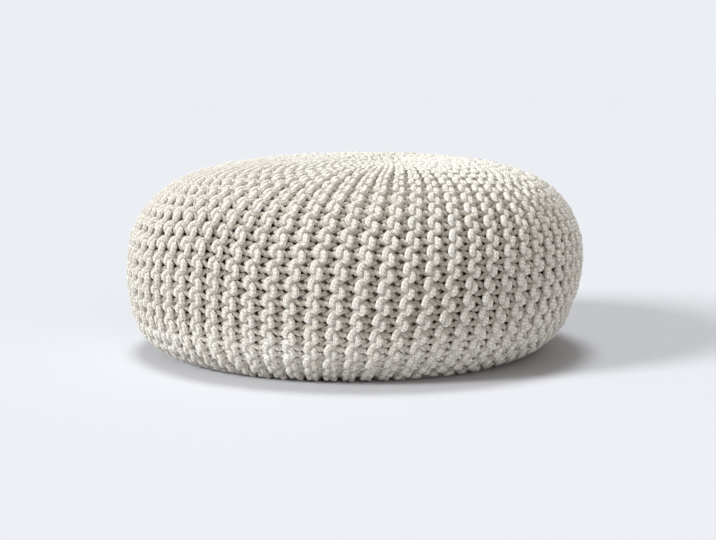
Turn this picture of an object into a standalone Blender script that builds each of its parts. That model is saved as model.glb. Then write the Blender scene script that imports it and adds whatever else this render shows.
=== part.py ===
"""Knitted pouf: one filled bag of thick garter-stitch knit, gathered at its top and bottom.

The body is a low round loaf. Its profile is two superellipses that meet at the widest line, the lower
one cut off flat where the pouf stands. Ridges of knit run from the gather in the top over the belly
and under to the base. Metres, +Z up, base centre at the origin.
"""

import bpy
import numpy as np
from mathutils import Vector

# Driving dimensions, in metres
HALF_WIDTH = 0.300  # radius over the ridges at the widest line
HEIGHT = 0.250  # crown above the floor, before the unevenness
WIDEST_AT = 0.133  # height of the widest line
BASE_RADIUS = 0.207  # the flat that stands on the floor
RIDGES = 70  # ridges of knit around the body
RIDGE_DEPTH = 0.0042  # how far a valley lies below its ridges at the widest line

# Superellipse exponents: (across, up). Larger is squarer.
UPPER_CURVE = (5.2, 1.89)
LOWER_CURVE = (5.2, 2.57)

# The gathers: where the ridges meet, from the body's middle, and the dimple drawn in there
TOP_GATHER = (0.0350, 0.0)
BASE_GATHER = (0.0075, 0.0)
DIMPLE_DEPTH = 0.008
DIMPLE_RADIUS = 0.034

# Unevenness of a hand-filled bag
LEAN = 0.0117  # the crown stands this far towards +X of the base
BOW = 0.0030  # the belly stands this far towards +X of crown and base
TILT = 0.04  # part of the height that a metre towards +X adds
SAG = 0.54  # part of the height lost at a square metre from the middle
SAG_LEVEL = 0.3  # share of HALF_WIDTH squared at which the sag is nothing
TWIST = 0.253  # radians that a ridge winds round per metre along it

UPPER_RINGS = 17
LOWER_RINGS = 10
GATHER_RADIUS = 0.016  # innermost ring of ridges around the gather

COVER_COLOUR = (0.76, 0.73, 0.66, 1.0)
COVER_ROUGHNESS = 0.9


def clear_scene():
    for obj in list(bpy.data.objects):
        bpy.data.objects.remove(obj, do_unlink=True)


def upper_height(radius):
    """Height of the upper skin: the superellipse (r/R)^a + (z/Z)^b = 1 above the widest line."""
    across, up = UPPER_CURVE
    share = np.clip(1 - (radius / HALF_WIDTH) ** across, 0, 1)
    return WIDEST_AT + (HEIGHT - WIDEST_AT) * share ** (1 / up)


def lower_height(radius):
    """Height of the lower skin, scaled so that it reaches the floor at BASE_RADIUS."""
    across, up = LOWER_CURVE
    share = np.clip(1 - (radius / HALF_WIDTH) ** across, 0, 1) ** (1 / up)
    floor_share = (1 - (BASE_RADIUS / HALF_WIDTH) ** across) ** (1 / up)
    return np.clip(WIDEST_AT * (1 - share / floor_share), 0, None)


def even_radii(height_of, first, last, count):
    """Radii that cut the skin between two radii into equal lengths, both ends included."""
    fine = first + (last - first) * np.sin(np.linspace(0, np.pi / 2, 2000))
    height = height_of(fine)
    steps = np.hypot(np.diff(fine), np.diff(height))
    length = np.concatenate([[0], np.cumsum(steps)])
    return np.interp(np.linspace(0, length[-1], count), length, fine)


def dimple(radius):
    """Depth of the dimple at a distance from the gather: a smooth bell."""
    return DIMPLE_DEPTH * np.exp(-((radius / DIMPLE_RADIUS) ** 2))


def uneven(points):
    """Leans, bows, tilts and sags the even body. What lies on the floor stays there."""
    x, y, z = points.T
    level = z / HEIGHT
    lean = LEAN * (level - 0.5) + BOW * (4 * level * (1 - level) - 0.5)
    height = z * (1 + TILT * x - SAG * (x**2 - SAG_LEVEL * HALF_WIDTH**2))
    return np.stack([x + lean, y, height], axis=1)


def ring(radius, upper, along):
    """One ring of points, ridge and valley in turn, 'along' metres from the top gather."""
    turn = 2 * np.pi * np.arange(2 * RIDGES) / (2 * RIDGES) - TWIST * along
    gather = TOP_GATHER if upper else BASE_GATHER
    pull = 1 - (radius / HALF_WIDTH) ** 2
    x = radius * np.sin(turn) + gather[0] * pull
    y = -radius * np.cos(turn) + gather[1] * pull
    from_middle = np.hypot(x, y)
    z = upper_height(from_middle) - dimple(radius) if upper else lower_height(from_middle)
    return np.stack([x, y, z], axis=1)


def body_rings():
    """All rings from the gather down to the edge of the flat base, and their radii."""
    upper = even_radii(upper_height, HALF_WIDTH, GATHER_RADIUS, UPPER_RINGS)[::-1]
    lower = even_radii(lower_height, HALF_WIDTH, BASE_RADIUS, LOWER_RINGS)[1:]
    radii = np.concatenate([upper, lower])
    is_upper = np.arange(len(radii)) < UPPER_RINGS
    heights = np.where(is_upper, upper_height(radii), lower_height(radii))
    along = np.concatenate([[0], np.cumsum(np.hypot(np.diff(radii), np.diff(heights)))])
    return np.array([ring(*row) for row in zip(radii, is_upper, along)]), radii


def with_valleys(rings, radii):
    """Sinks every second point below the skin, less where ridges crowd and not at all on the floor."""
    down = np.roll(rings, -1, axis=0) - np.roll(rings, 1, axis=0)
    down[0] = rings[1] - rings[0]
    down[-1] = rings[-1] - rings[-2]
    around = np.roll(rings, -1, axis=1) - np.roll(rings, 1, axis=1)
    normal = np.cross(down, around)
    normal /= np.linalg.norm(normal, axis=2, keepdims=True)
    fade = radii / HALF_WIDTH
    fade[-2:] *= (0.5, 0.0)
    valley = np.arange(2 * RIDGES) % 2
    return rings - normal * (RIDGE_DEPTH * fade[:, None] * valley)[..., None]


def grid_faces(ring_count, ring_size):
    """Quads between neighbouring rings, wound to face out."""
    row, column = np.mgrid[0 : ring_count - 1, 0:ring_size]
    after = (column + 1) % ring_size
    corners = (row * ring_size + column, (row + 1) * ring_size + column,
               (row + 1) * ring_size + after, row * ring_size + after)
    return np.stack(corners, axis=-1).reshape(-1, 4).tolist()


def build_pouf():
    rings = with_valleys(*body_rings())
    ring_count, ring_size, _ = rings.shape
    points = uneven(rings.reshape(-1, 3))
    points[-ring_size:, 2] = 0.0  # the base edge lies on the floor
    gather = points[:ring_size].mean(axis=0) - (0, 0, 0.1 * DIMPLE_DEPTH)
    base_middle = points[-ring_size:].mean(axis=0)
    points = np.vstack([points, gather, base_middle])

    first_column = np.arange(ring_size)
    after = (first_column + 1) % ring_size
    top_index, base_index = len(points) - 2, len(points) - 1
    last_row = (ring_count - 1) * ring_size
    faces = grid_faces(ring_count, ring_size)
    faces += [(top_index, int(a), int(b)) for a, b in zip(first_column, after)]
    faces += [(base_index, last_row + int(b), last_row + int(a)) for a, b in zip(first_column, after)]

    low, high = points.min(axis=0), points.max(axis=0)
    points -= ((low[0] + high[0]) / 2, (low[1] + high[1]) / 2, low[2])

    mesh = bpy.data.meshes.new("knitted_pouf")
    mesh.from_pydata([Vector(point) for point in points], [], faces)
    mesh.shade_smooth()
    mesh.validate()
    pouf = bpy.data.objects.new("knitted_pouf", mesh)
    bpy.context.scene.collection.objects.link(pouf)
    mesh.materials.append(cover_material())
    return pouf


def cover_material():
    material = bpy.data.materials.new("cotton_cord")
    material.use_nodes = True
    shader = material.node_tree.nodes["Principled BSDF"]
    shader.inputs["Base Color"].default_value = COVER_COLOUR
    shader.inputs["Roughness"].default_value = COVER_ROUGHNESS
    shader.inputs["Metallic"].default_value = 0.0
    return material


clear_scene()
build_pouf()
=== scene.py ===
import math

import bpy
import numpy as np
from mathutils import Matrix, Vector


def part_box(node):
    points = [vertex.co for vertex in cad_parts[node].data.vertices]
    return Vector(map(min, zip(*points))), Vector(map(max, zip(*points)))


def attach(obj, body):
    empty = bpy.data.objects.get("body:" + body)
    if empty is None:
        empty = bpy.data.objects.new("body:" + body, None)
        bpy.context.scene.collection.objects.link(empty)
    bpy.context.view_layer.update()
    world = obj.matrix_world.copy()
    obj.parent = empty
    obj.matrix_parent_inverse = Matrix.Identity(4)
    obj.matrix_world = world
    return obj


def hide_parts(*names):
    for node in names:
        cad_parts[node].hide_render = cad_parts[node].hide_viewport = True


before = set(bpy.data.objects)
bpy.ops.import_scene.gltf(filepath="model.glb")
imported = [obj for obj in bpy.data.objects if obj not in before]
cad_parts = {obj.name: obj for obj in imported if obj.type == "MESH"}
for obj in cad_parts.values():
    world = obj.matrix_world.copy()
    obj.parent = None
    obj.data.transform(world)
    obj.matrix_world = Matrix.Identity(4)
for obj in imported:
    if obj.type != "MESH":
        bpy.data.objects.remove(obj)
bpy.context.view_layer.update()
boxLow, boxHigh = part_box("knitted_pouf")

# The filled body, in metres. The cord is laid over this surface.
body = {
    "halfWidth": (boxHigh.x - boxLow.x) / 2,
    "height": 0.250,  # crown above the floor before the unevenness
    "widestAt": 0.133,  # height of the belly
    "baseRadius": 0.207,  # the flat on the floor
    "upperCurve": (5.2, 1.89),  # superellipse exponents, across and up
    "lowerCurve": (5.2, 2.57),
    "topGather": 0.035,  # how far to +X of the middle the ridges meet on top
    "baseGather": 0.0075,  # and underneath
    "dimpleDepth": 0.008,
    "dimpleRadius": 0.034,
    "throatRadius": 0.0125,  # where the drawn-shut hole turns down into the filling
    "throatDepth": 0.020,
    "throatShrink": 0.55,  # share of its radius that the hole loses on the way down
    "lean": 0.0117,  # the top stands this far to +X of the base
    "bow": 0.0030,  # and the belly this far past the line between them
    "tilt": 0.04,  # share of its height the body gains per metre towards +X
    "sag": 0.54,  # share of its height it loses per square metre away from the middle
    "sagLevel": 0.3,  # share of the half width's square where that loss is nil
    "twist": 0.253,  # radians a ridge winds round per metre
    "twistFrom": 0.314,  # metres along from the gather where a ridge is at its own angle
}


# 3x^2 - 2x^3 between 0 and 1
def smooth(value):
    value = np.clip(value, 0, 1)
    return value * value * (3 - 2 * value)


# Height of the upper half: widest + (height - widest) (1 - (r/R)^a)^(1/b)
def upperHeight(radius):
    across, up = body["upperCurve"]
    share = np.clip(1 - (radius / body["halfWidth"]) ** across, 0, 1)
    return body["widestAt"] + (body["height"] - body["widestAt"]) * share ** (1 / up)


# Height of the lower half: widest (1 - s(r) / s(base)), where s = (1 - (r/R)^a)^(1/b), never
# under the floor
def lowerHeight(radius):
    across, up = body["lowerCurve"]
    share = np.clip(1 - (radius / body["halfWidth"]) ** across, 0, 1) ** (1 / up)
    edge = (1 - (body["baseRadius"] / body["halfWidth"]) ** across) ** (1 / up)
    return np.clip(body["widestAt"] * (1 - share / edge), 0, None)


# The meridian from inside the top hole, out over the belly and in to the base hole. Down a hole
# the radius shrinks as 1 - sin t and the drop grows as 1 - cos; between them the radius is
# hole + (half - hole) sin t. Gives length along it (0 at the hole's rim), radius and drop.
def meridian():
    half, throat = body["halfWidth"], body["throatRadius"]
    turn = np.linspace(0, math.pi / 2, 40)
    inRadius = throat - body["throatShrink"] * throat * (1 - np.sin(turn))
    inDrop = body["throatDepth"] * (1 - np.cos(turn - math.pi / 2))
    outward = throat + (half - throat) * np.sin(np.linspace(0, math.pi / 2, 1500))
    inward = outward[::-1]
    radius = np.concatenate([inRadius, outward[1:], inward[1:], inRadius[::-1][1:]])
    level = np.zeros(len(outward) + len(inward) - 2)
    drop = np.concatenate([inDrop, level, inDrop[::-1][1:]])
    upper = np.arange(len(radius)) < len(inRadius) + len(outward) - 1
    height = np.where(upper, upperHeight(radius) - drop, lowerHeight(radius) + drop)
    along = np.concatenate([[0], np.cumsum(np.hypot(np.diff(radius), np.diff(height)))])
    along -= along[len(inRadius) - 1]
    return along, radius, drop


lineAlong, lineRadius, lineDrop = meridian()
belt = np.argmax(lineRadius)


# Point of the body's skin 'along' metres from the top gather, at angle 'turn' (0 faces -Y):
# x = r sin a + gather (1 - (r/R)^2) + lean, y = -r cos a, z = (height - dimple e^-(r/d)^2)
# times 1 + tilt x - sag (x^2 - level R^2)
def skin(along, turn):
    radius = np.interp(along, lineAlong, lineRadius)
    drop = np.interp(along, lineAlong, lineDrop)
    upper = along < lineAlong[belt]
    angle = turn - body["twist"] * (along - body["twistFrom"])
    pull = 1 - (radius / body["halfWidth"]) ** 2
    gather = np.where(upper, body["topGather"], body["baseGather"])
    x = radius * np.sin(angle) + gather * pull
    y = -radius * np.cos(angle)
    middle = np.hypot(x, y)
    dimple = body["dimpleDepth"] * np.exp(-((radius / body["dimpleRadius"]) ** 2))
    z = np.where(upper, upperHeight(middle) - dimple - drop, lowerHeight(middle) + drop)
    level = z / body["height"]
    lean = body["lean"] * (level - 0.5) + body["bow"] * (4 * level * (1 - level) - 0.5)
    sag = body["sag"] * (x**2 - body["sagLevel"] * body["halfWidth"] ** 2)
    z = z * (1 + body["tilt"] * x - sag)
    return np.stack([x + lean, y, z], axis=-1)


# The leaning body is put back over the origin by the middle of its width and depth
gridAlong, gridTurn = np.meshgrid(np.linspace(0, lineAlong[-1], 400), np.linspace(0, 2 * math.pi, 361))
rawSkin = skin(gridAlong, gridTurn).reshape(-1, 3)
centre = (rawSkin.min(axis=0) + rawSkin.max(axis=0)) / 2 * [1, 1, 0]
print("skin made, centre", centre.round(4), "meridian", round(float(lineAlong[-1]), 3), "m")


# Skin point with its unit axes down, around and outward, from central differences of the skin
def skinAndAxes(along, turn):
    stepAlong, stepTurn = 0.0015, 0.01
    down = skin(along + stepAlong, turn) - skin(along - stepAlong, turn)
    around = skin(along, turn + stepTurn) - skin(along, turn - stepTurn)
    down /= np.maximum(np.linalg.norm(down, axis=-1, keepdims=True), 1e-12)
    around /= np.maximum(np.linalg.norm(around, axis=-1, keepdims=True), 1e-12)
    normal = np.cross(down, around)
    normal /= np.maximum(np.linalg.norm(normal, axis=-1, keepdims=True), 1e-12)
    return skin(along, turn) - centre, down, around, normal


# The knitting, in metres
knit = {
    "ridges": 70,
    "cordRadius": 0.0037,
    "crownFat": 1.09,  # cord radius on the front of a stitch, as a share
    "legSlim": 0.72,  # and where it is squeezed behind
    "fatSpread": 1.25,  # how far round the stitch the fat part goes
    "touch": 0.0059,  # centre to centre where squeezed cords cross
    "crownHalf": 0.275,  # half length of a front crown, share of a stitch
    "neckHalf": 0.175,  # half the gap between the two legs behind it
    "crownReach": 0.86,  # from the row's line to its crowns, share of a row
    "crownLift": 0.0064,  # crowns stand this far before the cloth's middle
    "shear": 0.09,  # knit crowns ride up and purl crowns down by this share of a stitch
    "slant": (-0.08, 0.10),  # lean of the knit crowns and of the purl crowns off the ridge
    "stitchWidth": 0.0195,  # width that the stitch shape is settled at
    "rowGaps": (0.0044, 0.0055, 0.0072, 0.0098, 0.01345),  # row spacings it is settled at
    "stitchTop": 0.0168,  # stitch width near the top gather
    "stitchBelly": 0.0198,
    "widensFrom": (0.06, 0.16),  # metres along where stitches start to widen, and over how much
    "phase": 0.45,  # turns the ridges by this share of a ridge
    "tuckFrom": (0.088, 0.044),  # radii where every second, then every fourth ridge tucks under
    "tuckSpread": 0.07,  # how much those radii differ from ridge to ridge, as a share
    "tuckOver": 0.016,  # metres of radius from showing to tucked
    "tuckDepth": 0.011,
    "pressUnder": (0.075, 0.055),  # height where the cloth starts to press flat, and over how much
    "pressOutside": (0.207, 0.012),  # the radius outside which it does, and over how much
    "pressShare": 0.40,  # share of the stitches' depth that is lost
    "pressOut": 0.0071,  # metres the pressed crowns bulge out
    "easedOver": (0.185, 0.045),  # height where the top starts to lie flatter, and over how much
    "easedShare": 0.30,  # share of the stitches' depth that is lost there
    "paintedShadeDepth": 0.0145,  # how far below the crowns the painted shade of deep cord is full
    "paintedShadeCurve": 1.4,  # above 1 keeps the painted shade to the deepest cord
    "bumpShift": (0.03, 0.0006, 0.0006),  # unevenness: share of a stitch, metres round, metres out
    "bumpGirth": 0.045,  # and of the cord's girth, as a share
    "leastGap": 0.004,  # rows nearer than this are shifted round as if this far apart
    "wave": 0.05,  # slow sideways waves of the ridges, in rows
    "waves": ((0.9, 0.31, 0), (0.37, -0.23, 2)),  # their radians per stitch, per row, and start
    "drifts": ((0.10, 3, 0.7), (0.06, 11, 0)),  # the rows' starts shift: stitches, waves round, start
    "sides": 6,  # of a cord
    # Rings of a stitch, as numbers of its settled points: 0 is mid crown, and its bends have most
    "frontCuts": (-20, -16, -12, -9, -7, -5, -4, -2, 0, 2, 4, 5, 7, 9, 12, 16, 20),
    "hiddenCuts": (-19, -11, -4, 4, 11, 19),
    "hiddenInside": 0.213,  # radius of the base inside which stitches take the hidden cuts
    "panels": 7,
    "seed": 11,
}

# How the cords of one stitch settle against each other
settle = {
    "points": 48,  # along one stitch of a row
    "steps": 60,
    "homing": 0.1,  # share of the way back to where it was drawn, each step
    "push": 0.35,  # share of an overlap that is pushed apart, each step
    "evening": 0.06,  # pull towards the middle of a point's neighbours
    "ownReach": 1.35,  # a cord doesn't push itself nearer than this many touches along it
    "leastReach": 0.75,  # crowns reach at least this share of a touch
}


# A quarter of the drawn loop, from the middle of the crown to the neck: share of a stitch's
# width, share of the reach, share of the lift
def drawnQuarter(high):
    crown, neck = knit["crownHalf"], knit["neckHalf"]
    shares = [
        [0, 1, 1],
        [0.55 * crown, 1, 0.96],
        [crown, 0.90, 0.79],
        [crown + 0.004, 0.70, 0.50],  # round the crown's end
        [neck + 0.02, 0.42, 0.14],
        [neck, 0.22, -0.07],
    ]
    return np.array(shares) * [knit["stitchWidth"], high, knit["crownLift"]]


# Catmull-Rom curve through a loop that repeats one 'step' on, cut into 'count' even lengths.
# Gives the points and the length of the loop.
def evenCurve(loop, step, count):
    fineStep = 0.02  # of the way from one drawn point to the next
    ring = np.concatenate([loop[-1:] - step, loop, loop[:3] + step])
    at = np.arange(0, len(loop) + fineStep / 2, fineStep)
    i = np.minimum(at.astype(int), len(loop))
    x = (at - i)[:, None]
    before, here, after = ring[i], ring[i + 1], ring[i + 2]
    beyond = ring[np.minimum(i + 3, len(ring) - 1)]
    fine = 0.5 * (2 * here + (after - before) * x + (2 * before - 5 * here + 4 * after - beyond) * x * x
                  + (3 * here - before - 3 * after + beyond) * x**3)
    arc = np.concatenate([[0], np.cumsum(np.linalg.norm(np.diff(fine, axis=0), axis=1))])
    even = np.arange(count) / count * arc[-1]
    return np.stack([np.interp(even, arc, fine[:, axis]) for axis in range(3)], -1), arc[-1]


# One stitch of garter knit, two rows: the drawn quarter mirrored to a loop, and the purl row the
# same loop turned back to front. Each step moves a point home by 'homing', away from every cord
# nearer than 'touch' by 'push' of the overlap, and to its neighbours' middle by 'evening'.
def settleStitch(rowGap):
    width, touch, points = knit["stitchWidth"], knit["touch"], settle["points"]
    step = np.array([width, 0, 0])
    quarter = drawnQuarter(max(knit["crownReach"] * rowGap, settle["leastReach"] * touch))
    back = ([width / 2, 0, 0] - quarter)[::-1]
    half = np.concatenate([quarter, [[width / 4, 0, 0]], back])
    loop = np.concatenate([half, ([width, 0, 0] + half * [-1, 1, 1])[::-1][1:-1]])
    knitRow, loopLength = evenCurve(loop, step, points)
    rows = np.array([knitRow, knitRow * [1, 1, -1] + [0, rowGap, 0]])
    start = rows.copy()

    # The stitch and its eight neighbours, and which pairs of points may touch
    shifts = np.array([(p * width, q * 2 * rowGap, 0.0) for p in (-1, 0, 1) for q in (-1, 0, 1)])
    row = np.repeat([0, 1], points)
    place = np.tile(np.arange(points), 2)
    over = np.repeat([-1, 0, 1], 3)[None, :, None] * points
    sideways = np.tile([-1, 0, 1], 3)[None, :, None]
    apart = np.abs(place[:, None, None] - place[None, None, :] - over)
    sameCord = (row[:, None, None] == row[None, None, :]) & (sideways == 0)
    ownNear = math.ceil(settle["ownReach"] * touch / (loopLength / points))
    mayTouch = ~(sameCord & (apart <= ownNear))

    for _ in range(settle["steps"]):
        rows = rows + settle["homing"] * (start - rows)
        flat = rows.reshape(-1, 3)
        offset = flat[:, None, None, :] - (flat[None, :, :] + shifts[:, None, :])[None]
        far = np.linalg.norm(offset, axis=3)
        push = np.where(mayTouch & (far < touch), (touch - far) / np.maximum(far, 1e-9), 0)
        touching = np.maximum((push > 0).sum(axis=(1, 2)), 1)
        pushed = (push[..., None] * offset).sum(axis=(1, 2)) / touching[:, None]
        rows = (flat + settle["push"] * pushed).reshape(rows.shape)
        around = np.concatenate([rows[:, -1:] - step, rows, rows[:, :1] + step], axis=1)
        rows = rows + settle["evening"] * (around[:, :-2] + around[:, 2:] - 2 * rows)
    return rows


stitchShapes = np.array([settleStitch(rowGap) for rowGap in knit["rowGaps"]])  # gap, row, point, xyz
crownHeights = stitchShapes[:, 0, :, 2].max(axis=1)
print("stitches settled, crown heights in mm", (crownHeights * 1000).round(1))


# Stitch number against length along the meridian: lengths summed over a width that grows smoothly
# from the gather to the belly, scaled to a whole number of stitches
def stitchPlaces():
    fine = np.linspace(lineAlong[0], lineAlong[-1], 4000)
    grow = smooth((fine - knit["widensFrom"][0]) / knit["widensFrom"][1])
    width = knit["stitchTop"] + (knit["stitchBelly"] - knit["stitchTop"]) * grow
    number = np.concatenate([[0], np.cumsum(np.diff(fine) / width[1:])])
    return fine, number * (round(number[-1]) / number[-1])


fineAlong, fineNumber = stitchPlaces()
stitchCount = int(round(fineNumber[-1]))
print("stitches from gather to gather", stitchCount)


# Every ring of a row, as its stitch number and its point number in the stitch. Stitches whose
# middle is on the hidden part of the base take fewer rings.
def rowCuts():
    hiddenFrom = lineAlong[belt + np.argmax(lineRadius[belt:] < knit["hiddenInside"])]
    starts = np.arange(stitchCount)
    middles = np.interp(starts + 0.5, fineNumber, fineAlong)
    cuts = [knit["hiddenCuts"] if middle > hiddenFrom else knit["frontCuts"] for middle in middles]
    return np.repeat(starts, [len(c) for c in cuts]), np.concatenate(cuts)


# Room for a row. Where the ridges crowd at the gathers, every second one tucks under and then
# every fourth, and those that stay take the room of the others. Gives the row's own spacing
# 2 pi r / rows, the tuck from 0 to 1, and how often the room has doubled.
def rowRoom(random, ridge, radius):
    ownGap = 2 * math.pi * radius / (2 * knit["ridges"])
    edges = [start * (1 + random.normal(0, knit["tuckSpread"], (knit["ridges"], 1)))[ridge[:, 0]]
             for start in knit["tuckFrom"]]
    gone = [smooth((edge - radius) / knit["tuckOver"] + 0.5) for edge in edges]
    odd = ridge % 2 == 1
    second = ridge % 4 == 2
    tuck = np.where(odd, gone[0], np.where(second, gone[1], 0.0))
    doubled = np.where(odd, 0.0, gone[0] + np.where(second, 0.0, gone[1]))
    return ownGap, tuck, doubled


# Point 'number' of the settled stitch, mixed between two of the row spacings it is settled at
def settledPoint(number, purl, low, mix):
    points = settle["points"]
    kind = np.broadcast_to(purl, number.shape)
    shape = stitchShapes[low, kind, number % points] * (1 - mix)
    shape = shape + stitchShapes[low + 1, kind, number % points] * mix
    return shape + (number // points)[..., None] * [knit["stitchWidth"], 0, 0]


# Random numbers of deviation 'size', one a stitch of each row, fading from the crown to 0 behind
def perBump(random, size, stitch, front):
    return random.normal(0, size, (2 * knit["ridges"], stitchCount))[:, stitch] * front


# Centre lines of all rows of the cover. A settled stitch point (x down, y round, z out) is put at
# stitch number + x / width along the meridian and y / spacing round it, sunk below the skin by
# the crown's height less z. Gives points, ring axes, cord radii, lengths along and painted shade.
def layRows():
    random = np.random.default_rng(knit["seed"])
    stitch, cut = rowCuts()
    rowCount = 2 * knit["ridges"]
    row = np.arange(rowCount)
    purl = (row % 2)[:, None]
    ridge = (row // 2)[:, None]
    points = settle["points"]
    front = 0.5 + 0.5 * np.cos(2 * math.pi * cut / points)  # 1 on the front crown, 0 behind

    alongStitch = np.interp(stitch + 0.5, fineNumber, fineAlong)
    radius = np.interp(alongStitch, lineAlong, lineRadius)[None, :]
    ownGap, tuck, doubled = rowRoom(random, ridge, radius)
    gaps = np.array(knit["rowGaps"])
    usedGap = np.clip(ownGap * 2.0 ** doubled, gaps[0], gaps[-1])
    where = np.clip(np.interp(usedGap, gaps, np.arange(len(gaps))), 0, len(gaps) - 1.0001)
    low = where.astype(int)
    mix = (where - low)[..., None]

    # The stitch's shape and the heading of its cord, slanted and sheared
    at = cut[None, :] + purl * points // 2  # a purl row's front crown is half a stitch on
    shape = settledPoint(at, purl, low, mix)
    heading = settledPoint(at + 1, purl, low, mix) - settledPoint(at - 1, purl, low, mix)
    crownMiddle = stitchShapes[0, 0, 0, 0] + purl * knit["stitchWidth"] / 2
    slant = np.where(purl == 1, knit["slant"][1], knit["slant"][0]) * smooth(front * 2 - 1)
    shape[..., 1] -= slant * (shape[..., 0] - crownMiddle)
    heading[..., 1] -= slant * heading[..., 0]
    fromRidge = (shape[..., 1] - usedGap / 2) / usedGap  # from the ridge's middle, in rows
    u = shape[..., 0] / knit["stitchWidth"] - knit["shear"] * np.sin(math.pi * fromRidge)
    steep = -knit["shear"] * math.pi * np.cos(math.pi * fromRidge) * knit["stitchWidth"] / usedGap
    heading[..., 0] += steep * heading[..., 1]
    v = fromRidge * 2.0 ** doubled
    w = shape[..., 2]

    # Every bump a little different, and slow waves through the cloth
    u = u + perBump(random, knit["bumpShift"][0], stitch, front)
    v = v + perBump(random, knit["bumpShift"][1], stitch, front) / np.maximum(ownGap, knit["leastGap"])
    w = w + perBump(random, knit["bumpShift"][2], stitch, front)
    girth = 1 + perBump(random, knit["bumpGirth"], stitch, front)
    number = stitch[None, :] + u
    wave = sum(np.sin(each * number + across * row[:, None] + start) for each, across, start in knit["waves"])
    rowTurn = 2 * math.pi * row / rowCount
    drift = sum(size * np.sin(times * rowTurn + start) for size, times, start in knit["drifts"])
    along = np.interp(number + drift[:, None], fineNumber, fineAlong)
    turn = 2 * math.pi / rowCount * (2 * ridge + 2 * knit["phase"] + v + knit["wave"] * wave)
    point, down, around, normal = skinAndAxes(along, turn)

    # How far below the skin the cord's centre lies: pressed near the floor, eased on top
    underFrom, underOver = knit["pressUnder"]
    outsideFrom, outsideOver = knit["pressOutside"]
    press = smooth((underFrom - point[..., 2]) / underOver) * smooth((radius - outsideFrom) / outsideOver)
    eased = smooth((point[..., 2] - knit["easedOver"][0]) / knit["easedOver"][1])
    flatter = knit["pressShare"] * press + knit["easedShare"] * eased
    crown = crownHeights[low] * (1 - mix[..., 0]) + crownHeights[low + 1] * mix[..., 0]
    below = knit["cordRadius"] * knit["crownFat"] + (crown - w) * (1 - flatter)
    below = below - knit["pressOut"] * press + tuck * knit["tuckDepth"]
    place = point - normal * below[..., None]
    # Painted shade: the deeper a cord lies below the crowns, the darker it is tinted, for the shade in the
    # recesses
    paintedShade = np.clip((below - knit["cordRadius"]) / knit["paintedShadeDepth"], 0, 1) ** knit["paintedShadeCurve"]

    fat = smooth(front * knit["fatSpread"])[None, :]
    cordRadius = knit["cordRadius"] * girth * (knit["legSlim"] + (knit["crownFat"] - knit["legSlim"]) * fat)
    ahead = heading[..., :1] * down + heading[..., 1:2] * around + heading[..., 2:] * normal
    ahead /= np.linalg.norm(ahead, axis=-1, keepdims=True)
    side = np.cross(ahead, normal)
    side /= np.maximum(np.linalg.norm(side, axis=-1, keepdims=True), 1e-9)
    up = np.cross(side, ahead)
    step = np.linalg.norm(np.diff(place, axis=1), axis=-1)
    length = np.concatenate([np.zeros((rowCount, 1)), np.cumsum(step, axis=1)], axis=1)
    return place, side, up, cordRadius, length, paintedShade


# Rings p + r (cos a side + sin a up) round each centre line, as closed tubes with pointed ends.
# The UV map "cord" is the length along in metres and the share of the way round.
def cordTubes(name, place, side, up, radius, length, paintedShade, material):
    rows, cuts, _ = place.shape
    sides = knit["sides"]
    angle = 2 * math.pi * np.arange(sides) / sides
    ring = np.cos(angle)[:, None] * side[:, :, None, :] + np.sin(angle)[:, None] * up[:, :, None, :]
    points = place[:, :, None, :] + radius[:, :, None, None] * ring
    points[..., 2] = np.maximum(points[..., 2], 0.0)  # the floor flattens what would dip under it
    ends = np.stack([place[:, 0], place[:, -1]], axis=1)
    vertices = np.concatenate([points.reshape(rows, cuts * sides, 3), ends], axis=1).reshape(-1, 3)

    # Faces of one tube, then shifted to every row
    i, j = np.meshgrid(np.arange(cuts - 1), np.arange(sides), indexing="ij")
    i, j = i.ravel(), j.ravel()
    after = (j + 1) % sides
    quads = np.stack([i * sides + j, (i + 1) * sides + j, (i + 1) * sides + after, i * sides + after], -1)
    k = np.arange(sides)
    kAfter = (k + 1) % sides
    lastRing = (cuts - 1) * sides
    first = np.stack([np.full(sides, cuts * sides), k, kAfter], -1)
    last = np.stack([np.full(sides, cuts * sides + 1), lastRing + kAfter, lastRing + k], -1)
    offset = (np.arange(rows) * (cuts * sides + 2))[:, None, None]
    quads = (quads[None] + offset).reshape(-1, 4)
    tris = (np.concatenate([first, last])[None] + offset).reshape(-1, 3)

    mesh = bpy.data.meshes.new(name)
    mesh.vertices.add(len(vertices))
    mesh.vertices.foreach_set("co", vertices.astype(np.float32).ravel())
    corners = np.concatenate([quads.ravel(), tris.ravel()])
    mesh.loops.add(len(corners))
    mesh.loops.foreach_set("vertex_index", corners.astype(np.int32))
    starts = np.concatenate([np.arange(len(quads)) * 4, len(quads) * 4 + np.arange(len(tris)) * 3])
    mesh.polygons.add(len(starts))
    mesh.polygons.foreach_set("loop_start", starts.astype(np.int32))
    mesh.polygons.foreach_set("use_smooth", np.ones(len(starts), bool))

    uv = np.zeros((rows, len(i), 4, 2), np.float32)
    uv[..., 0] = length[:, np.stack([i, i + 1, i + 1, i], -1)]
    uv[..., 1] = np.stack([j, j, j + 1, j + 1], -1) / sides
    values = np.zeros((len(corners), 2), np.float32)
    values[:len(quads) * 4] = uv.reshape(-1, 2)
    mesh.uv_layers.new(name="cord").data.foreach_set("uv", values.ravel())
    # Painted shade share of every ring's vertices, read by the cord material
    ringPaintedShade = np.concatenate([np.repeat(paintedShade, sides, axis=1), paintedShade[:, [0, -1]]], axis=1)
    shade = mesh.attributes.new("paintedShade", "FLOAT", "POINT")
    shade.data.foreach_set("value", ringPaintedShade.ravel().astype(np.float32))
    mesh.update(calc_edges=True)
    mesh.validate()
    mesh.materials.append(material)
    piece = bpy.data.objects.new(name, mesh)
    bpy.context.scene.collection.objects.link(piece)
    return piece


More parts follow.
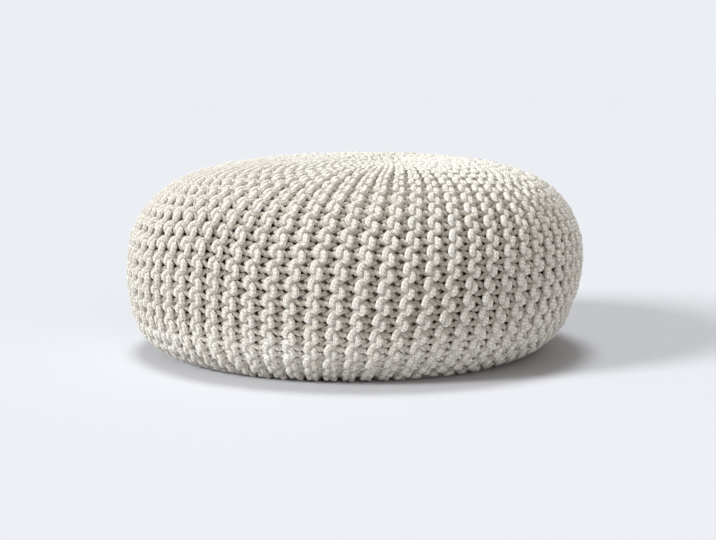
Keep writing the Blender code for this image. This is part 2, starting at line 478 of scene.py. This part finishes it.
# A node of a tree, with each setting and each input given its value or linked to its socket
def addNode(tree, kind, inputs=None, **settings):
    node = tree.nodes.new(kind)
    for name, value in settings.items():
        setattr(node, name, value)
    for name, value in (inputs or {}).items():
        if isinstance(value, bpy.types.NodeSocket):
            tree.links.new(value, node.inputs[name])
        else:
            node.inputs[name].default_value = value
    return node


# The result of one sum: 'operation' on the values, each a number or a socket
def mathNode(tree, operation, *values):
    return addNode(tree, "ShaderNodeMath", dict(enumerate(values)), operation=operation).outputs[0]


# The colour 'share' of the way from one colour to another
def mixColours(tree, share, here, there):
    inputs = {"Factor": share, 6: here, 7: there}
    return addNode(tree, "ShaderNodeMix", inputs, data_type="RGBA").outputs[2]


# An empty group with named sockets: its tree, its input sockets and its output node's
def newGroup(name, inputs, outputs):
    group = bpy.data.node_groups.new(name, "ShaderNodeTree")
    for label, (kind, value) in inputs.items():
        socket = group.interface.new_socket(label, in_out="INPUT", socket_type=kind)
        socket.default_value = value
    for label, kind in outputs.items():
        group.interface.new_socket(label, in_out="OUTPUT", socket_type=kind)
    return group, group.nodes.new("NodeGroupInput").outputs, group.nodes.new("NodeGroupOutput").inputs


# Braided cord: columns of slanted strands round the cord. With f = distance to a column's edge,
# height = sin(pi fract(along / pitch + f / 2))^0.9 times a rounded column 1 - f^3, and the
# painted shade between the strands is 1 - height.
def braidGroup():
    group, given, out = newGroup("cordBraid", {
        "Along": ("NodeSocketFloat", 0.0),
        "Around": ("NodeSocketFloat", 0.0),
        "Pitch": ("NodeSocketFloat", 0.0024),
        "Columns": ("NodeSocketFloat", 8.0),
    }, {"Height": "NodeSocketFloat", "GrooveShade": "NodeSocketFloat"})
    column = mathNode(group, "FRACT", mathNode(group, "MULTIPLY", given["Around"], given["Columns"]))
    edge = mathNode(group, "ABSOLUTE", mathNode(group, "MULTIPLY_ADD", column, 2.0, -1.0))
    along = mathNode(group, "DIVIDE", given["Along"], given["Pitch"])
    strand = mathNode(group, "FRACT", mathNode(group, "MULTIPLY_ADD", edge, 0.5, along))
    hump = mathNode(group, "SINE", mathNode(group, "MULTIPLY", strand, math.pi))
    rounded = mathNode(group, "SUBTRACT", 1.0, mathNode(group, "POWER", edge, 3.0))
    height = mathNode(group, "MULTIPLY", mathNode(group, "POWER", hump, 0.9), rounded)
    group.links.new(height, out["Height"])
    group.links.new(mathNode(group, "SUBTRACT", 1.0, height), out["GrooveShade"])
    return group


# Two tones in soft patches with fine specks over them: noise on Object coordinates, stretched
# to 0..1, the patches weighing half and the specks by 'Speck Amount'
def tonesGroup():
    group, given, out = newGroup("clothTones", {
        "Pale": ("NodeSocketColor", (0.8, 0.8, 0.8, 1)),
        "Deep": ("NodeSocketColor", (0.6, 0.6, 0.6, 1)),
        "Patch Scale": ("NodeSocketFloat", 14.0),
        "Speck Scale": ("NodeSocketFloat", 700.0),
        "Speck Amount": ("NodeSocketFloat", 0.3),
    }, {"Color": "NodeSocketColor", "Specks": "NodeSocketFloat"})
    place = group.nodes.new("ShaderNodeTexCoord").outputs["Object"]
    patch = addNode(group, "ShaderNodeTexNoise",
                    {"Vector": place, "Scale": given["Patch Scale"], "Detail": 3.0}).outputs[0]
    speck = addNode(group, "ShaderNodeTexNoise",
                    {"Vector": place, "Scale": given["Speck Scale"], "Detail": 2.0}).outputs[0]
    patchShare = addNode(group, "ShaderNodeMapRange",
                         {"Value": patch, "From Min": 0.35, "From Max": 0.65}).outputs[0]
    speckShare = addNode(group, "ShaderNodeMapRange",
                         {"Value": speck, "From Min": 0.35, "From Max": 0.7}).outputs[0]
    speckPart = mathNode(group, "MULTIPLY", speckShare, given["Speck Amount"])
    both = mathNode(group, "MULTIPLY_ADD", patchShare, 0.5, speckPart)
    group.links.new(mixColours(group, both, given["Pale"], given["Deep"]), out["Color"])
    group.links.new(speckShare, out["Specks"])
    return group


cordLook = {
    "pale": (0.945, 0.930, 0.900, 1),
    "deep": (0.870, 0.845, 0.80, 1),
    "grooveShade": (0.42, 0.335, 0.235, 1),  # painted shade: dark brown down between the strands, where shade falls
    "grooveShadeShare": 0.60,
    "paintedShade": (0.25, 0.165, 0.085, 1),  # painted shade: dark brown for cord deep in the cloth, where shade falls
    "paintedShadeShare": 0.95,
    "pitch": 0.0034,  # metres from strand to strand along the cord
    "columns": 5.0,
    "relief": 0.0007,  # metres the strands stand up
    "speckRelief": 0.25,  # and the specks, as a share of that
    "roughness": 0.92,
    "diffuseRoughness": 1.0,
    "specular": 0.10,
    "fuzz": 0.22,  # sheen of the loose fibres
    "fuzzRoughness": 0.6,
    "fuzzTint": (1.0, 0.97, 0.92, 1),
}


# Cotton cord: tones, with painted shade darkening the grooves between strands by a set share, then
# painted shade towards dark brown on cord deep in the cloth, with a bump of the braid and specks
def cordMaterial():
    material = bpy.data.materials.new("cottonCord")
    material.use_nodes = True
    tree = material.node_tree
    shader = tree.nodes["Principled BSDF"]
    layer = addNode(tree, "ShaderNodeUVMap", uv_map="cord")
    split = addNode(tree, "ShaderNodeSeparateXYZ", {"Vector": layer.outputs["UV"]})
    braid = addNode(tree, "ShaderNodeGroup", node_tree=braidGroup())
    tree.links.new(split.outputs["X"], braid.inputs["Along"])
    tree.links.new(split.outputs["Y"], braid.inputs["Around"])
    braid.inputs["Pitch"].default_value = cordLook["pitch"]
    braid.inputs["Columns"].default_value = cordLook["columns"]
    tones = addNode(tree, "ShaderNodeGroup", node_tree=clothTones)
    tones.inputs["Pale"].default_value = cordLook["pale"]
    tones.inputs["Deep"].default_value = cordLook["deep"]
    # Painted shade in the grooves between the strands
    grooveShadeMix = mathNode(tree, "MULTIPLY", braid.outputs["GrooveShade"], cordLook["grooveShadeShare"])
    strands = mixColours(tree, grooveShadeMix, tones.outputs["Color"], cordLook["grooveShade"])
    # Painted shade: cord deep in the cloth is mixed towards dark brown
    depth = addNode(tree, "ShaderNodeAttribute", attribute_name="paintedShade")
    paintedShadeMix = mathNode(tree, "MULTIPLY", depth.outputs["Fac"], cordLook["paintedShadeShare"])
    colour = mixColours(tree, paintedShadeMix, strands, cordLook["paintedShade"])
    specks, strandHeight = tones.outputs["Specks"], braid.outputs["Height"]
    height = mathNode(tree, "MULTIPLY_ADD", specks, cordLook["speckRelief"], strandHeight)
    bump = addNode(tree, "ShaderNodeBump",
                   {"Height": height, "Distance": cordLook["relief"], "Strength": 1.0})
    tree.links.new(colour, shader.inputs["Base Color"])
    tree.links.new(bump.outputs["Normal"], shader.inputs["Normal"])
    shader.inputs["Roughness"].default_value = cordLook["roughness"]
    shader.inputs["Diffuse Roughness"].default_value = cordLook["diffuseRoughness"]
    shader.inputs["Sheen Weight"].default_value = cordLook["fuzz"]
    shader.inputs["Sheen Roughness"].default_value = cordLook["fuzzRoughness"]
    shader.inputs["Sheen Tint"].default_value = cordLook["fuzzTint"]
    shader.inputs["Specular IOR Level"].default_value = cordLook["specular"]
    return material


# A plain matt cloth or paint: the two near tones of its look, mixed by the tones group
def plainMaterial(name, look):
    material = bpy.data.materials.new(name)
    material.use_nodes = True
    tree = material.node_tree
    shader = tree.nodes["Principled BSDF"]
    tones = addNode(tree, "ShaderNodeGroup", node_tree=clothTones)
    tones.inputs["Pale"].default_value = look["pale"]
    tones.inputs["Deep"].default_value = look["deep"]
    tones.inputs["Patch Scale"].default_value = look["patches"]
    tree.links.new(tones.outputs["Color"], shader.inputs["Base Color"])
    shader.inputs["Roughness"].default_value = look["roughness"]
    shader.inputs["Specular IOR Level"].default_value = look["specular"]
    return material


# The knitted cover, in panels of whole ridges
clothTones = tonesGroup()
cotton = cordMaterial()
laid = layRows()
print("rows laid", laid[0].shape)
panelRows = 2 * knit["ridges"] // knit["panels"]
panels = []
for number in range(knit["panels"]):
    part = slice(number * panelRows, (number + 1) * panelRows)
    panels.append(cordTubes(f"knit_panel_{number + 1}", *[values[part] for values in laid], cotton))
print("panels made, triangles", sum(len(o.data.loops) - 2 * len(o.data.polygons) for o in panels))

# The filled body that closes the space behind the stitches, near-black brown as painted shade
fillingLook = {
    "rings": 64,
    "around": 96,
    "depth": 0.0150,  # metres below the skin
    "endGap": 0.004,  # metres short of the ends of the meridian
    # painted shade: near-black brown for the shade between the stitches
    "pale": (0.10, 0.070, 0.042, 1),
    "deep": (0.08, 0.055, 0.032, 1),
    "roughness": 1.0,
    "specular": 0.1,
    "patches": 20.0,  # patches a metre, about
}


# The skin sunk along its normal by 'depth', closed by a fan of triangles at each gather
def fillingBody(material):
    rings, around, endGap = fillingLook["rings"], fillingLook["around"], fillingLook["endGap"]
    along = np.linspace(endGap, lineAlong[-1] + lineAlong[0] - endGap, rings)
    turn = np.linspace(0, 2 * math.pi, around, endpoint=False)
    point, _, _, normal = skinAndAxes(*np.meshgrid(along, turn, indexing="ij"))
    point = point - normal * fillingLook["depth"]
    vertices = np.concatenate([point.reshape(-1, 3), [point[0].mean(0)], [point[-1].mean(0)]])
    i, j = np.meshgrid(np.arange(rings - 1), np.arange(around), indexing="ij")
    after = (j + 1) % around
    quads = np.stack([i * around + j, (i + 1) * around + j, (i + 1) * around + after, i * around + after], -1)
    k = np.arange(around)
    kAfter = (k + 1) % around
    lastRing = (rings - 1) * around
    topFan = np.stack([np.full(around, rings * around), k, kAfter], -1)
    baseFan = np.stack([np.full(around, rings * around + 1), lastRing + kAfter, lastRing + k], -1)
    faces = quads.reshape(-1, 4).tolist() + topFan.tolist() + baseFan.tolist()
    mesh = bpy.data.meshes.new("pouf_filling")
    mesh.from_pydata(vertices.tolist(), [], faces)
    mesh.shade_smooth()
    mesh.materials.append(material)
    piece = bpy.data.objects.new("pouf_filling", mesh)
    bpy.context.scene.collection.objects.link(piece)
    return piece


# The filling's dark material is painted shade
filling = fillingBody(plainMaterial("fillingPaintedShade", fillingLook))
print("filling made, faces", len(filling.data.polygons))

for piece in [filling, *panels]:
    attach(piece, "root")
    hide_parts("knitted_pouf")

floorLook = {
    "size": 30,  # metres
    "pale": (0.643, 0.641, 0.672, 1),
    "deep": (0.638, 0.636, 0.667, 1),
    "roughness": 0.8,
    "specular": 0.1,
    "patches": 2.0,
}
bpy.ops.mesh.primitive_plane_add(size=floorLook["size"], location=(0, 0, 0))
floor = bpy.context.object
floor.name = "floor"
floor.data.materials.append(plainMaterial("paleFloor", floorLook))

# Daylight from above and from the left, with a weak fill in front. 'from' is where a light
# stands, and 'angle' its width in degrees.
studio = {
    "ambient": (1.0, 0.94, 0.870, 1),
    "ambientStrength": 0.29,
    "backdrop": (0.835, 0.865, 0.905, 1),  # what the camera sees behind the floor
    "overhead": {"from": (-0.08, 0.07, 0.99), "strength": 1.78, "angle": 18.0, "colour": (0.905, 0.970, 1.0)},
    "side": {"from": (-0.765, -0.43, 0.48), "strength": 3.20, "angle": 18.0, "colour": (0.945, 0.985, 1.0)},
    "front": {"from": (0.30, -0.87, 0.40), "strength": 0.55, "angle": 45.0, "colour": (1.0, 0.99, 0.97)},
}

# The world lights the scene with 'ambient', and the camera sees 'backdrop' instead
world = bpy.data.worlds.new("studio")
bpy.context.scene.world = world
world.use_nodes = True
worldTree = world.node_tree
ambient = worldTree.nodes["Background"]
ambient.inputs["Color"].default_value = studio["ambient"]
ambient.inputs["Strength"].default_value = studio["ambientStrength"]
backdrop = addNode(worldTree, "ShaderNodeBackground", {"Color": studio["backdrop"], "Strength": 1.0})
seen = worldTree.nodes.new("ShaderNodeLightPath").outputs["Is Camera Ray"]
either = addNode(worldTree, "ShaderNodeMixShader", {0: seen, 1: ambient.outputs[0], 2: backdrop.outputs[0]})
worldTree.links.new(either.outputs[0], worldTree.nodes["World Output"].inputs["Surface"])


# A sun whose light comes from the direction 'from'
def softLight(name, settings):
    light = bpy.data.lights.new(name, "SUN")
    light.energy = settings["strength"]
    light.angle = math.radians(settings["angle"])
    light.color = settings["colour"]
    lamp = bpy.data.objects.new(name, light)
    lamp.rotation_euler = Vector(settings["from"]).to_track_quat("Z", "Y").to_euler()
    bpy.context.scene.collection.objects.link(lamp)


softLight("overheadLight", studio["overhead"])
softLight("sideLight", studio["side"])
softLight("frontLight", studio["front"])
print("floor and lights placed")

# The camera stands in front, 'distance' from the aim at 'elevation', so its height is
# aim + distance sin e and it is distance cos e away
view = {
    "distance": 2.1,
    "elevation": 7.0,  # degrees
    "aimHeight": 0.125,
    "lens": 79.61,
    "sensor": 36,
    "shift": (0.0067, -0.0225),
}
camera = bpy.data.objects.new("camera", bpy.data.cameras.new("camera"))
bpy.context.scene.collection.objects.link(camera)
bpy.context.scene.camera = camera
elevation = math.radians(view["elevation"])
camera.location = (-centre[0],
                   -view["distance"] * math.cos(elevation) - centre[1],
                   view["aimHeight"] + view["distance"] * math.sin(elevation))
camera.rotation_euler = (math.pi / 2 - elevation, 0, 0)
camera.data.lens = view["lens"]
camera.data.sensor_width = view["sensor"]
camera.data.shift_x, camera.data.shift_y = view["shift"]
bpy.context.scene.view_settings.view_transform = "Standard"
